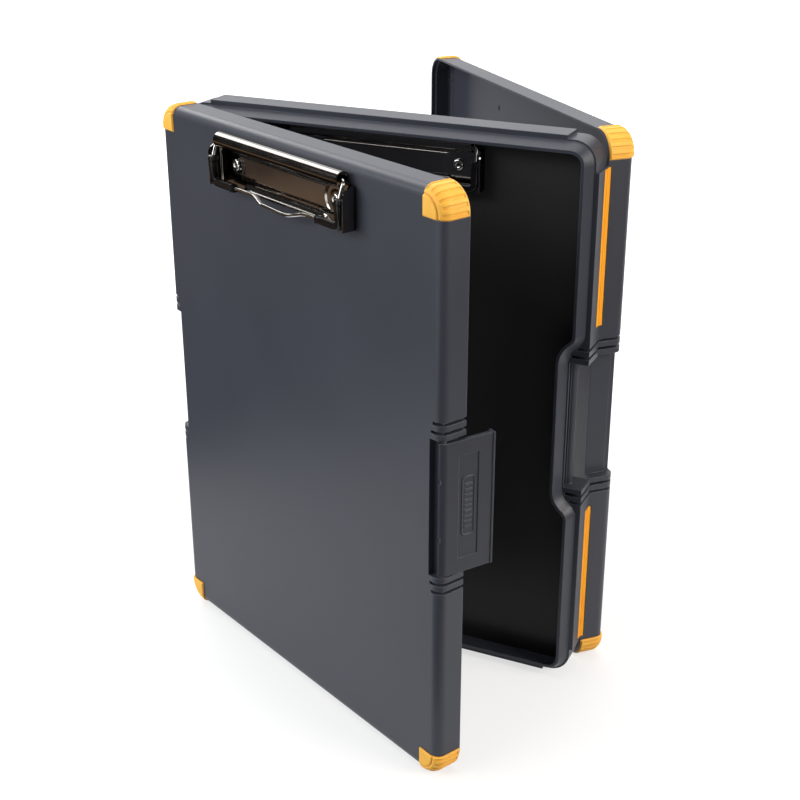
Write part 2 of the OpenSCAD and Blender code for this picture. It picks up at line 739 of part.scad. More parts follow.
on_rear_lid() lid_leaf(false);  // rear_hinge_lower_lid_leaf
on_rear_lid() bumper_at(1, 0);  // rear_bumper_top_left
on_rear_lid() bumper_at(0, 0);  // rear_bumper_top_right
on_rear_lid() bumper_at(1, 1);  // rear_bumper_bottom_left
on_rear_lid() bumper_at(0, 1);  // rear_bumper_bottom_right
on_rear_lid() latch_pin();  // rear_latch_pin
color(shell_grey) on_rear_lid() swung_latch() latch_form();  // rear_latch
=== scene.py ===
import json
import math

import bmesh
import bpy
import numpy as np
from mathutils import Matrix, Vector


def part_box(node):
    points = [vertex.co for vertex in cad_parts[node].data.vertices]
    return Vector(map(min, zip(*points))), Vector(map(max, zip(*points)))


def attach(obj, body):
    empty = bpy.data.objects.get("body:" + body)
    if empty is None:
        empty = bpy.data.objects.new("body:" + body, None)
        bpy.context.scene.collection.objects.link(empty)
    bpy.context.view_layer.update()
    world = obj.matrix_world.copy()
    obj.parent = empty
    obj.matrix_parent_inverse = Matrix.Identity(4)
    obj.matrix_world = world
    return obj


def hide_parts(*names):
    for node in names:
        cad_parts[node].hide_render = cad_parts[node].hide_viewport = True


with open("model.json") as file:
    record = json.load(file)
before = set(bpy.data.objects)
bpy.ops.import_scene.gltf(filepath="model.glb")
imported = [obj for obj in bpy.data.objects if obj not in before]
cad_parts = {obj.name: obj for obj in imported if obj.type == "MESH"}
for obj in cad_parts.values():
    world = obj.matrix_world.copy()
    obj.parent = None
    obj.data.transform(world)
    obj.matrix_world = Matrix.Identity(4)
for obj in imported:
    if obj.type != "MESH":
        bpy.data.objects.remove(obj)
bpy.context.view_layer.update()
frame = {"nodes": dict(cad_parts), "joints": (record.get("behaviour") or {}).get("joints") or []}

# ---------------------------------------------------------------------------
# Camera, floor and studio light.
# The standing case is seen from the front right and above, on a plain white table, under large
# soft boxes from above and from both sides. Glowing boards that only mirrors see paint reflections
# into the steel: dark painted shade, with warm painted highlights in bands.
# ---------------------------------------------------------------------------
CAMERA_AT = (0.335049, -0.706041, 0.499223)
CAMERA_TURN = math.radians(24.807)
CAMERA_DIP = math.radians(23.598)
CAMERA_ROLL = math.radians(-0.02)
CAMERA_LENS, SENSOR_W = 63.255, 36

ahead = Vector((-math.sin(CAMERA_TURN) * math.cos(CAMERA_DIP),
                math.cos(CAMERA_TURN) * math.cos(CAMERA_DIP), -math.sin(CAMERA_DIP)))
right = ahead.cross(Vector((0, 0, 1))).normalized()
up = right.cross(ahead)
rolled_right = right * math.cos(CAMERA_ROLL) + up * math.sin(CAMERA_ROLL)
rolled_up = up * math.cos(CAMERA_ROLL) - right * math.sin(CAMERA_ROLL)
camera_data = bpy.data.cameras.new("camera")
camera_data.sensor_width = SENSOR_W
camera_data.lens = CAMERA_LENS
camera = bpy.data.objects.new("camera", camera_data)
camera.matrix_world = Matrix.Translation(CAMERA_AT) @ Matrix(
    (rolled_right, rolled_up, -ahead)).transposed().to_4x4()
bpy.context.scene.collection.objects.link(camera)
bpy.context.scene.camera = camera
bpy.context.scene.view_settings.view_transform = "Standard"


def new_material(name):
    """A node material: itself, its tree, and its shader joined to the output."""
    mat = bpy.data.materials.new(name)
    mat.use_nodes = True
    return mat, mat.node_tree, mat.node_tree.nodes["Principled BSDF"]


def feed(tree, socket, value):
    """Gives an input another node's output, or a plain value."""
    if isinstance(value, bpy.types.NodeSocket):
        tree.links.new(value, socket)
    else:
        socket.default_value = value


def worked(tree, operation, *values):
    """One operation of a Math node on outputs or numbers."""
    node = tree.nodes.new("ShaderNodeMath")
    node.operation = operation
    for socket, value in zip(node.inputs, values):
        feed(tree, socket, value)
    return node.outputs[0]


def mapped(tree, value, start, stop, first=0.0, last=1.0):
    """A straight line that is first at start and last at stop, and level beyond both."""
    node = tree.nodes.new("ShaderNodeMapRange")
    feed(tree, node.inputs["Value"], value)
    for socket, number in (("From Min", start), ("From Max", stop), ("To Min", first), ("To Max", last)):
        node.inputs[socket].default_value = number
    return node.outputs["Result"]


def axes_of(tree, vector):
    """The X, Y and Z outputs of a vector."""
    node = tree.nodes.new("ShaderNodeSeparateXYZ")
    feed(tree, node.inputs[0], vector)
    return node.outputs


def object_coords(tree):
    """The outputs of a Texture Coordinate node, of which Object and Normal are used."""
    return tree.nodes.new("ShaderNodeTexCoord").outputs


def rays_seen(tree):
    """1 for rays of the camera, of mirrors and of glass, 0 for the rays that light the scene."""
    path = tree.nodes.new("ShaderNodeLightPath").outputs
    direct = worked(tree, "MAXIMUM", path["Is Camera Ray"], path["Is Glossy Ray"])
    return worked(tree, "MAXIMUM", direct, path["Is Transmission Ray"])


def stage_sheet(name, corners, faces, mat):
    """A flat or folded sheet of the studio, from its corners and faces."""
    mesh = bpy.data.meshes.new(name)
    mesh.from_pydata(corners, [], faces)
    mesh.materials.append(mat)
    sheet = bpy.data.objects.new(name, mesh)
    bpy.context.scene.collection.objects.link(sheet)
    return sheet


TABLE_HALF = 6.0
TABLE_GREY = 0.35
TABLE_GLOW = (0.66, 1.12)        # near the case and far from it
TABLE_FADE = (0.25, 1.1)         # distances from the middle between which the glow changes
table_mat, table_tree, table_shader = new_material("white_table")
table_shader.inputs["Base Color"].default_value = (TABLE_GREY, TABLE_GREY, TABLE_GREY, 1)
table_shader.inputs["Roughness"].default_value = 0.9
table_reach = table_tree.nodes.new("ShaderNodeVectorMath")
table_reach.operation = "LENGTH"
feed(table_tree, table_reach.inputs[0], object_coords(table_tree)["Object"])
table_fade = mapped(table_tree, table_reach.outputs["Value"], *TABLE_FADE, *TABLE_GLOW)
table_glow = table_tree.nodes.new("ShaderNodeEmission")
feed(table_tree, table_glow.inputs["Strength"],
     worked(table_tree, "MULTIPLY", rays_seen(table_tree), table_fade))
table_both = table_tree.nodes.new("ShaderNodeAddShader")
feed(table_tree, table_both.inputs[0], table_shader.outputs[0])
feed(table_tree, table_both.inputs[1], table_glow.outputs[0])
feed(table_tree, table_tree.nodes["Material Output"].inputs["Surface"], table_both.outputs[0])
stage_sheet("table", [(-TABLE_HALF, -TABLE_HALF, 0), (TABLE_HALF, -TABLE_HALF, 0),
                      (TABLE_HALF, TABLE_HALF, 0), (-TABLE_HALF, TABLE_HALF, 0)], [(0, 1, 2, 3)], table_mat)

ROOM_LIGHT = 0.07                # the strength of the world for all rays but the camera's
ROOM_WHITE = 1.2                 # and for the camera's
world = bpy.data.worlds.new("studio")
bpy.context.scene.world = world
world.use_nodes = True
sky_tree = world.node_tree
background = sky_tree.nodes["Background"]
background.inputs["Color"].default_value = (1, 1, 1, 1)
sky_path = sky_tree.nodes.new("ShaderNodeLightPath").outputs
feed(sky_tree, background.inputs["Strength"],
     worked(sky_tree, "MULTIPLY_ADD", sky_path["Is Camera Ray"], ROOM_WHITE - ROOM_LIGHT, ROOM_LIGHT))

CASE_MIDDLE = (0, 0, 0.17)
COOL, WARM = (0.95, 0.98, 1.0), (1.0, 0.94, 0.87)


def soft_box(name, at, width, height, watts, tint=(1, 1, 1)):
    """A rectangular area lamp at one point, facing the middle of the case."""
    data = bpy.data.lights.new(name, "AREA")
    data.shape = "RECTANGLE"
    data.size, data.size_y, data.energy, data.color = width, height, watts, tint
    lamp = bpy.data.objects.new(name, data)
    lamp.location = at
    lamp.rotation_euler = (Vector(CASE_MIDDLE) - Vector(at)).to_track_quat("-Z", "Y").to_euler()
    lamp.visible_camera = False
    bpy.context.scene.collection.objects.link(lamp)


soft_box("top_box", (-0.1, 0.3, 1.6), 1.4, 1.4, 16)
soft_box("key_box", (-1.4, 0.7, 1.35), 0.9, 0.9, 15)
soft_box("back_box", (-0.9, 2.2, 1.3), 3.0, 2.0, 28)
soft_box("left_box", (-1.5, -1.0, 0.75), 1.2, 1.0, 26, COOL)
soft_box("front_box", (-0.8, -1.5, 1.45), 0.7, 0.7, 9)
soft_box("right_box", (1.6, -0.04, 0.9), 1.0, 1.0, 27, WARM)

# a glowing board that only mirrors see: it lies on the table left of the case, then stands up.
# Its dark glow with warm bands is a painted reflection in the steel. Plain dark boards paint dark
# reflections in the same way on the right, and on the table there and in front
WALL_X, WALL_FOOT, WALL_Y, WALL_TOP = -0.95, -0.32, (-0.75, 0.45), 0.62
WALL_SPAN = 0.65                 # from the wall's fold to either end of its pattern
BOARD_LIFT = 0.001
# the boards glow only for mirrors: this dark is painted shade in reflections, and the warm bands are painted
# highlights in them
PAINTED_REFLECTION_DARK = (0.012, 0.010, 0.009)
PAINTED_REFLECTION_BANDS = ((0.39, (0.02, 0.015, 0.012)), (0.44, (0.5, 0.27, 0.12)), (0.48, (0.03, 0.022, 0.016)),
              (0.535, (0.30, 0.21, 0.15)), (0.56, (0.10, 0.075, 0.06)), (0.64, (0.02, 0.017, 0.014)))
wall_mat, wall_tree, _ = new_material("painted_reflection_wall")
wall_at = axes_of(wall_tree, object_coords(wall_tree)["Object"])
wall_along = worked(wall_tree, "SUBTRACT", wall_at["Z"], wall_at["X"])
wall_tint = wall_tree.nodes.new("ShaderNodeValToRGB")
feed(wall_tree, wall_tint.inputs["Fac"],
     mapped(wall_tree, wall_along, -WALL_SPAN - WALL_X, WALL_SPAN - WALL_X))
wall_ramp = wall_tint.color_ramp.elements
wall_ramp[0].color = wall_ramp[1].color = (*PAINTED_REFLECTION_DARK, 1)
for spot, shade in PAINTED_REFLECTION_BANDS:
    wall_ramp.new(spot).color = (*shade, 1)
wall_glow = wall_tree.nodes.new("ShaderNodeEmission")
feed(wall_tree, wall_glow.inputs["Color"], wall_tint.outputs["Color"])
feed(wall_tree, wall_tree.nodes["Material Output"].inputs["Surface"], wall_glow.outputs[0])
boards = [stage_sheet("painted_reflection_wall", [(WALL_FOOT, WALL_Y[0], BOARD_LIFT), (WALL_FOOT, WALL_Y[1], BOARD_LIFT),
                                    (WALL_X, WALL_Y[0], BOARD_LIFT), (WALL_X, WALL_Y[1], BOARD_LIFT),
                                    (WALL_X, WALL_Y[0], WALL_TOP), (WALL_X, WALL_Y[1], WALL_TOP)],
                      [(0, 1, 3, 2), (2, 3, 5, 4)], wall_mat)]
for name, corner, along, across in (("right_wall", (1.0, -0.2), (0, 1.1, 0), (0, 0, 0.299)),
                                    ("front_board", (-0.1, -1.6), (1.1, 0, 0), (0, 1.4, 0)),
                                    ("right_board", (0.45, -0.2), (0.55, 0, 0), (0, 0.8, 0))):
    start, along, across = Vector((*corner, BOARD_LIFT)), Vector(along), Vector(across)
    boards.append(stage_sheet(name, [start, start + along, start + along + across, start + across],
                              [(0, 1, 2, 3)], wall_mat))
for board in boards:
    board.visible_camera = False
    board.visible_diffuse = False
    board.visible_shadow = False
    board.visible_transmission = False

# ---------------------------------------------------------------------------
# Shell plastic.
# The tray, both lids and both latches are injection moulded in dark slate polypropylene with a
# fine etched grain. Corners and fins are painted lighter, partly as wear from handling and partly as
# a painted highlight along the edges.
# ---------------------------------------------------------------------------
SLATE = (0.042, 0.046, 0.061)
SHELL_ROUGH, LATCH_ROUGH = 0.42, 0.46
SHELL_SHINE = 0.35
LATCH_PAINTED_SHADE, RUBBED_AND_SHEEN_LIGHTER = 0.78, 2.6
EDGE_WEAR_AND_SHEEN = 0.0006               # radius in metres over which an edge is rounded, and painted lighter as wear and painted highlight
EDGE_TURN = (0.995, 0.9)         # cosines between flat and bevelled normal: plain, and lightest (wear and painted highlight)
DIVIDER_REACH = 0.0014           # the divider's faces lie within this distance of the plane y = 0
DIVIDER_FADE = 0.0004
DIVIDER_LOOK = {"Base Color": (0.042, 0.041, 0.043, 1), "Roughness": 0.3, "Specular IOR Level": 0.12}


def noise(tree, where, scale, detail):
    """A cloudy pattern between 0 and 1 that depends on the place."""
    node = tree.nodes.new("ShaderNodeTexNoise")
    feed(tree, node.inputs["Vector"], where)
    node.inputs["Scale"].default_value = scale
    node.inputs["Detail"].default_value = detail
    return node.outputs["Fac"]


def mottled(tree, pattern, dark, light):
    """A colour that runs from dark to light as a pattern runs from 0.3 to 0.7."""
    node = tree.nodes.new("ShaderNodeValToRGB")
    for stop, spot, colour in zip(node.color_ramp.elements, (0.3, 0.7), (dark, light)):
        stop.position = spot
        stop.color = (*colour, 1)
    feed(tree, node.inputs["Fac"], pattern)
    return node.outputs["Color"]


def mixed(tree, factor, first, second, kind="RGBA"):
    """The first colour or number where the factor is 0, the second where it is 1, and between them else."""
    node = tree.nodes.new("ShaderNodeMix")
    node.data_type = kind
    feed(tree, node.inputs["Factor"], factor)
    feed(tree, node.inputs["A"], first)
    feed(tree, node.inputs["B"], second)
    return node.outputs["Result"]


def bumped(tree, height, strength, distance, normal=None):
    """The surface's normal, or a given one, tilted by a pattern that is read as height."""
    node = tree.nodes.new("ShaderNodeBump")
    node.inputs["Strength"].default_value = strength
    node.inputs["Distance"].default_value = distance
    feed(tree, node.inputs["Height"], height)
    if normal:
        feed(tree, node.inputs["Normal"], normal)
    return node.outputs["Normal"]


def shell_plastic(name, colour, roughness, divider=False):
    """Moulded plastic: cloudy colour, an etched grain, and edges rounded by a bevel and painted lighter,
    partly as wear and partly as a painted highlight.

    An edge is where the bevelled normal leaves the flat one. With divider set, walls near the plane
    y = 0 that face along y are darker and smoother.
    """
    mat, tree, shader = new_material(name)
    coords = object_coords(tree)
    cloud = noise(tree, coords["Object"], scale=14, detail=5)
    grain = noise(tree, coords["Object"], scale=2400, detail=2)
    tint = mottled(tree, cloud, [c * 0.94 for c in colour], [c * 1.06 for c in colour])
    rounded = tree.nodes.new("ShaderNodeBevel")
    rounded.samples = 4
    rounded.inputs["Radius"].default_value = EDGE_WEAR_AND_SHEEN
    turned = tree.nodes.new("ShaderNodeVectorMath")
    turned.operation = "DOT_PRODUCT"
    feed(tree, turned.inputs[0], tree.nodes.new("ShaderNodeNewGeometry").outputs["Normal"])
    feed(tree, turned.inputs[1], rounded.outputs["Normal"])
    # edges painted lighter: partly wear, partly a painted highlight
    rubbed_and_sheen = mapped(tree, turned.outputs["Value"], *EDGE_TURN)
    look = {
        "Base Color": mixed(tree, rubbed_and_sheen, tint, (*[c * RUBBED_AND_SHEEN_LIGHTER for c in colour], 1)),
        "Roughness": mapped(tree, cloud, 0, 1, roughness - 0.06, roughness + 0.06),
        "Specular IOR Level": SHELL_SHINE,
    }
    if divider:
        away = worked(tree, "ABSOLUTE", axes_of(tree, coords["Object"])["Y"])
        near = mapped(tree, away, DIVIDER_REACH + DIVIDER_FADE, DIVIDER_REACH)
        facing = worked(tree, "ABSOLUTE", axes_of(tree, coords["Normal"])["Y"])
        on_divider = worked(tree, "MULTIPLY", facing, near)
        for socket, value in DIVIDER_LOOK.items():
            kind = "RGBA" if socket == "Base Color" else "FLOAT"
            look[socket] = mixed(tree, on_divider, look[socket], value, kind)
    for socket, value in look.items():
        feed(tree, shader.inputs[socket], value)
    feed(tree, shader.inputs["Normal"],
         bumped(tree, grain, strength=0.3, distance=0.00006, normal=rounded.outputs["Normal"]))
    return mat


def finish_node(node, mat):
    """Gives a CAD node its material."""
    obj = frame["nodes"][node]
    obj.data.materials.clear()
    obj.data.materials.append(mat)


shell_mat = shell_plastic("shell_plastic", SLATE, SHELL_ROUGH)
finish_node("tray", shell_plastic("tray_plastic", SLATE, SHELL_ROUGH, divider=True))
# the latches' plastic is the lids' plastic painted darker, as painted shade
latch_mat = shell_plastic("latch_plastic", [c * LATCH_PAINTED_SHADE for c in SLATE], LATCH_ROUGH)
for lid in ("front", "rear"):
    finish_node(lid + "_lid", shell_mat)
    finish_node(lid + "_latch", latch_mat)

# ---------------------------------------------------------------------------
# Hinge strips.
# Four soft strips join the lids to the tray along its long edges. Each is moulded over both shells
# in an orange-yellow elastomer, which folds along a bead between its two leaves.
# ---------------------------------------------------------------------------
ORANGE = (0.97, 0.40, 0.014)
STRIP_ROUGH = 0.5


def elastomer(name, colour, shade_colour, roughness):
    """Soft rubber: a cloudy colour under a dull bloom, with a fine grain.

    It turns to a darker colour, a painted shade, where a vertex attribute on the piece says how much.
    """
    mat, tree, shader = new_material(name)
    coords = object_coords(tree)
    cloud = noise(tree, coords["Object"], scale=120, detail=4)
    grain = noise(tree, coords["Object"], scale=1800, detail=3)
    red, green, blue = colour
    tint = mottled(tree, cloud, (red * 0.97, green * 0.93, blue * 0.9), (red, green * 1.05, blue * 1.1))
    painted_shade = tree.nodes.new("ShaderNodeAttribute")
    painted_shade.attribute_name = "painted_shade"
    feed(tree, shader.inputs["Base Color"], mixed(tree, painted_shade.outputs["Fac"], tint, (*shade_colour, 1)))
    feed(tree, shader.inputs["Roughness"], mapped(tree, cloud, 0, 1, roughness - 0.08, roughness + 0.08))
    feed(tree, shader.inputs["Specular IOR Level"], 0.3)
    feed(tree, shader.inputs["Normal"], bumped(tree, grain, strength=0.2, distance=0.00008))
    return mat


strip_mat = elastomer("hinge_strip", ORANGE, ORANGE, STRIP_ROUGH)
for node in frame["nodes"]:
    if node.endswith("_leaf"):
        finish_node(node, strip_mat)

# ---------------------------------------------------------------------------
# Corner bumpers.
# Eight elastomer bumpers are moulded over the lids' corners. Each wraps the corner's side and face,
# with grip grooves across the side and a raised pad on the face inside a round groove. Painted shade
# darkens the grooves, a line round each, the round groove and the borders where the bumper meets the lid.
# ---------------------------------------------------------------------------
MM = 0.001
WALL_DEPTH = 16.5                # lid's depth, opening edge to face, in millimetres as all sizes below
LID_BACK = 8.8                   # opening edge of a closed lid, from the tray's middle
SIDE_INSET, END_INSET = 1.5, 1.0
LID_CORNER = 13.0                # outer radius of the lid's corners
tray_low, tray_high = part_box("tray")
CASE_W = (tray_high.x - tray_low.x) / MM
CASE_H = (tray_high.z - tray_low.z) / MM
LID_W, LID_H = CASE_W - 2 * SIDE_INSET, CASE_H - 2 * END_INSET
joints = {joint["name"]: joint for joint in frame["joints"]}


def stood_open(hinge):
    """Turn about a lid's upright hinge line, from closed to the standing pose.

    The joint's axis points down, and its lower limit closes the lid. That angle about the upward line
    opens it again.
    """
    x, y, _ = joints[hinge]["pos_m"]
    line = Matrix.Translation((x, y, 0))
    return line @ Matrix.Rotation(math.radians(joints[hinge]["range_deg"][0]), 4, "Z") @ line.inverted()


# flat frame of the standing case: x right, y up from the middle, z towards the viewer, in metres
STAND = Matrix.Translation((0, 0, CASE_H * MM / 2)) @ Matrix.Rotation(math.radians(90), 4, "X")
CLOSED_LID = STAND @ Matrix.Translation((0, 0, LID_BACK * MM))
LID_PLACES = {
    "front_lid": stood_open("front_lid_hinge") @ CLOSED_LID,
    "rear_lid": stood_open("rear_lid_hinge") @ Matrix.Rotation(math.pi, 4, "Z") @ CLOSED_LID,
}


def placed(points, place):
    """Points in a local frame's millimetres, to the frame's metres."""
    m = np.array(place)
    return points * MM @ m[:3, :3].T + m[:3, 3]


def smooth(low, high, value):
    """Smooth step: 0 up to low, 1 from high, and a cubic between them."""
    t = np.clip((value - low) / (high - low), 0, 1)
    return t * t * (3 - 2 * t)


def made_solid(piece, thickness, offset):
    """Gives a sheet its thickness in metres, on both sides of it, or with offset -1 behind it."""
    solid = piece.modifiers.new("sheet", "SOLIDIFY")
    solid.thickness = thickness
    solid.offset = offset
    solid.use_even_offset = True
    bpy.context.view_layer.update()
    whole = bpy.data.meshes.new_from_object(piece.evaluated_get(bpy.context.evaluated_depsgraph_get()))
    piece.modifiers.clear()
    piece.data = whole


def grid_piece(name, points, mat, loop_rows=False, painted_shade=None, thickness=0.0, offset=0.0, sharp=35):
    """Piece from a grid of points: a quad between each four neighbours, round again where rows loop.

    Points that coincide, as at a pole, are joined. Edges past the sharp angle, in degrees, stay crisp.
    """
    rows, cols = points.shape[:2]
    index = np.arange(rows * cols).reshape(rows, cols)
    if loop_rows:
        index = np.concatenate([index, index[:, :1]], axis=1)
    quads = np.stack([index[:-1, :-1], index[:-1, 1:], index[1:, 1:], index[1:, :-1]], axis=-1)
    mesh = bpy.data.meshes.new(name)
    mesh.from_pydata(points.reshape(-1, 3).tolist(), [], quads.reshape(-1, 4).tolist())
    # a painted shade share, when given, goes on each point as an attribute
    if painted_shade is not None:
        attribute = mesh.attributes.new("painted_shade", "FLOAT", "POINT")
        attribute.data.foreach_set("value", np.asarray(painted_shade, np.float32).reshape(-1))
    form = bmesh.new()
    form.from_mesh(mesh)
    bmesh.ops.remove_doubles(form, verts=form.verts, dist=1e-6)
    bmesh.ops.dissolve_degenerate(form, edges=form.edges, dist=1e-6)
    bmesh.ops.recalc_face_normals(form, faces=form.faces)
    form.to_mesh(mesh)
    form.free()
    mesh.materials.append(mat)
    piece = bpy.data.objects.new(name, mesh)
    bpy.context.scene.collection.objects.link(piece)
    if thickness:
        made_solid(piece, thickness, offset)
    piece.data.shade_smooth()
    piece.data.set_sharp_from_angle(angle=math.radians(sharp))
    return piece


# the second amber is the colour of painted shade in the bumpers' grooves and borders
AMBER, AMBER_SHADE = (0.98, 0.52, 0.072), (0.86, 0.36, 0.03)
BUMPER_LEN = 14.5                # along each side of the lid
BUMPER_PROUD, BUMPER_THICK = 1.0, 1.5
BUMPER_START = 0.4               # from the opening edge
BUMPER_EDGE = 6.5                # radius between its side and its face
GROOVES = 6
GROOVE_PITCH, GROOVE_W, GROOVE_D = 4.1, 1.9, 0.5
GROOVE_FROM = 1.6                # where the grooves start, from the bumper's rim
GROOVE_TURN = math.radians(50)   # how far they reach round the edge
GROOVE_SOFT = (-0.3, 0.25)       # a groove's slope, from inside its outline to outside
GROOVE_LINE = 0.22               # half width of the painted shade line round each groove
RING_R, RING_HALF, RING_D = 9.6, 0.5, 0.5
PAD_R, PAD_RISE = (8.6, 9.4), 0.15              # radii of the pad's top and foot
BORDER_W, BORDER_D = 0.9, 0.8
PAINTED_SHADE_WEIGHT = {"groove": 0.2, "line": 0.55, "ring": 0.8, "border": 0.5}      # how strong the painted shade is there


def bumper_points(columns=150, rows=120):
    """Bumper on the lid's top right corner, as a fan of lines from its rim to the pad's inner corner.

    Across, the path runs up a leg, round the quarter turn and along the other leg. Down a line, the
    surface climbs the side, turns over a quarter-round edge and crosses the face to one pole. A height
    along the normal adds the grip grooves, the round groove, and the borders that fall to the lid.
    """
    radius = LID_CORNER + BUMPER_PROUD
    leg = BUMPER_LEN - LID_CORNER
    arc = radius * math.pi / 2
    path = np.linspace(0, arc + 2 * leg, columns)
    turn = np.clip((path - leg) / radius, 0, math.pi / 2)
    out = np.stack([np.cos(turn), np.sin(turn)], axis=-1)
    foot = out * radius
    foot[:, 1] -= np.clip(leg - path, 0, None)
    foot[:, 0] -= np.clip(path - leg - arc, 0, None)
    top = WALL_DEPTH + BUMPER_PROUD
    side = top - BUMPER_EDGE - BUMPER_START
    edge = BUMPER_EDGE * math.pi / 2
    face = radius - BUMPER_EDGE
    down = np.linspace(0, side + edge + face, rows)
    tilt = np.clip((down - side) / BUMPER_EDGE, 0, math.pi / 2)
    z = BUMPER_START + np.clip(down, 0, side) + BUMPER_EDGE * np.sin(tilt)
    inwards = BUMPER_EDGE * (1 - np.cos(tilt))
    share = np.clip((down - side - edge) / face, 0, 1)
    plan = foot[None] - out[None] * inwards[:, None, None]
    pole = np.array([-leg, -leg])
    plan = plan + (pole - plan) * share[:, None, None]
    upward = np.broadcast_to(np.sin(tilt)[:, None, None], (rows, columns, 1))
    normal = np.concatenate([out[None] * np.cos(tilt)[:, None, None], upward], axis=-1)
    # grooves across the side, with rounded ends
    first = (path[-1] - (GROOVES - 1) * GROOVE_PITCH) / 2
    nearest = np.clip(np.round((path - first) / GROOVE_PITCH), 0, GROOVES - 1)
    aside = np.abs(path - first - nearest * GROOVE_PITCH)[None]
    groove_end = side + BUMPER_EDGE * GROOVE_TURN
    along = np.maximum(GROOVE_FROM - down, down - groove_end)[:, None]
    gap = np.maximum(aside - GROOVE_W / 2, along)
    grip = 1 - smooth(*GROOVE_SOFT, gap)
    outline = np.exp(-(gap / GROOVE_LINE) ** 2)
    # round groove about the pad
    reach = np.hypot(np.maximum(plan[..., 0], 0), np.maximum(plan[..., 1], 0))
    ring = np.exp(-((reach - RING_R) / RING_HALF) ** 2)
    pad = 1 - smooth(*PAD_R, reach)
    # borders: the rim at the opening, and the two ends on the lid
    end = np.minimum(plan.min(axis=-1) + leg, down[:, None])
    border = 1 - smooth(0, BORDER_W, end)
    height = -GROOVE_D * grip - RING_D * ring + PAD_RISE * pad - BORDER_D * border
    # painted shade: how far the colour turns to the darker amber in and round the grooves and at the borders
    painted_shade = np.clip(PAINTED_SHADE_WEIGHT["groove"] * grip + PAINTED_SHADE_WEIGHT["line"] * outline
                     + PAINTED_SHADE_WEIGHT["ring"] * ring + PAINTED_SHADE_WEIGHT["border"] * border, 0, 1)
    xyz = np.concatenate([plan, np.broadcast_to(z[:, None, None], (rows, columns, 1))], axis=-1)
    centre = np.array([LID_W / 2 - LID_CORNER, LID_H / 2 - LID_CORNER, 0])
    return xyz + normal * height[..., None] + centre, painted_shade


bumper_mat = elastomer("bumper", AMBER, AMBER_SHADE, 0.5)
bumper_grid, bumper_painted_shade = bumper_points()
for lid in ("front", "rear"):
    for end, y_sign in (("top", 1), ("bottom", -1)):
        for side, x_sign in (("left", -1), ("right", 1)):
            node = f"{lid}_bumper_{end}_{side}"
            grid = placed(bumper_grid * (x_sign, y_sign, 1), LID_PLACES[lid + "_lid"])
            piece = grid_piece(node + "_grip", grid, bumper_mat, painted_shade=bumper_painted_shade,
                               thickness=BUMPER_THICK * MM, offset=-1)
            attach(piece, lid + "_lid")
            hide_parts(node)

# ---------------------------------------------------------------------------
# Clip plates.
# Each clip is one pressed blank of nickel-plated steel. Its top is rolled into an open barrel, its
# ends are turned up as flanges and its foot flares out, and a raised panel stiffens it between rivets.
# ---------------------------------------------------------------------------
# steel faces that look sideways or up are painted darker, as painted shade
STEEL, STEEL_ROUGH, STEEL_SMEAR = (0.36, 0.335, 0.31), 0.07, 0.08
SIDEWAYS_PAINTED_SHADE = (0.8, 0.97, 0.22)               # painted shade: normal's share where it starts and ends, and the colour left
UPWARD_PAINTED_SHADE = (0.15, 0.8, 0.5)
CLIP_W, CLIP_H, CLIP_T = 122.0, 25.0, 0.8
CLIP_DOWN = 23.7                 # the plate's middle, below the top of the case
OUTER_CLIP_RISE = 2.0
DIVIDER_T = 2.0
BARREL_R, BARREL_HALF = 4.2, 55.5
BARREL_TURN = (-90, 188)         # where the roll starts and ends, in degrees about its axis
AXIS_Y, AXIS_Z = CLIP_H / 2 + 0.2, BARREL_R + 0.4
RAMP = (AXIS_Y - 4, AXIS_Y - 1)  # the plate climbs between these heights to meet the roll
FLANGE_H, FLANGE_BEND, FLANGE_CORNER = 8.5, 1.4, 5.0
FLANGE_TOP = CLIP_H / 2 - 3
SHOULDER_W, SHOULDER_H = 1.0, 2  # the step between flange and barrel
FOOT_Y, FOOT_H, FOOT_OUT = -8.2, 4.3, 3.2       # where the flared foot starts, its height and its reach
FOOT_HALF = (35, 38.5)           # the flare fades out between these half widths
PANEL_HALF, PANEL_Y, PANEL_RISE = (40, 6.6), -0.2, 0.55
PANEL_SLOPE = (-1.2, 0.6)        # from inside its outline to outside
PANEL_FADE = 0.3                 # it has gone by this share of the foot
RIVET_X, RIVET_CLEAR = 45.0, 8.0
DISH_R, DISH_D = (3.6, 5.6), 0.25               # radii of its floor and rim
clip_y = (CASE_H / 2 - CLIP_DOWN) * MM
# the body that carries the plate, the bail's body, and the plate's place
CLIPS = {
    "outer_clip": ("front_lid", "outer_bail", LID_PLACES["front_lid"]
                   @ Matrix.Translation((0, clip_y + OUTER_CLIP_RISE * MM, WALL_DEPTH * MM))),
    "inner_clip": ("tray", "inner_bail", STAND @ Matrix.Translation((0, clip_y, DIVIDER_T * MM / 2))),
}


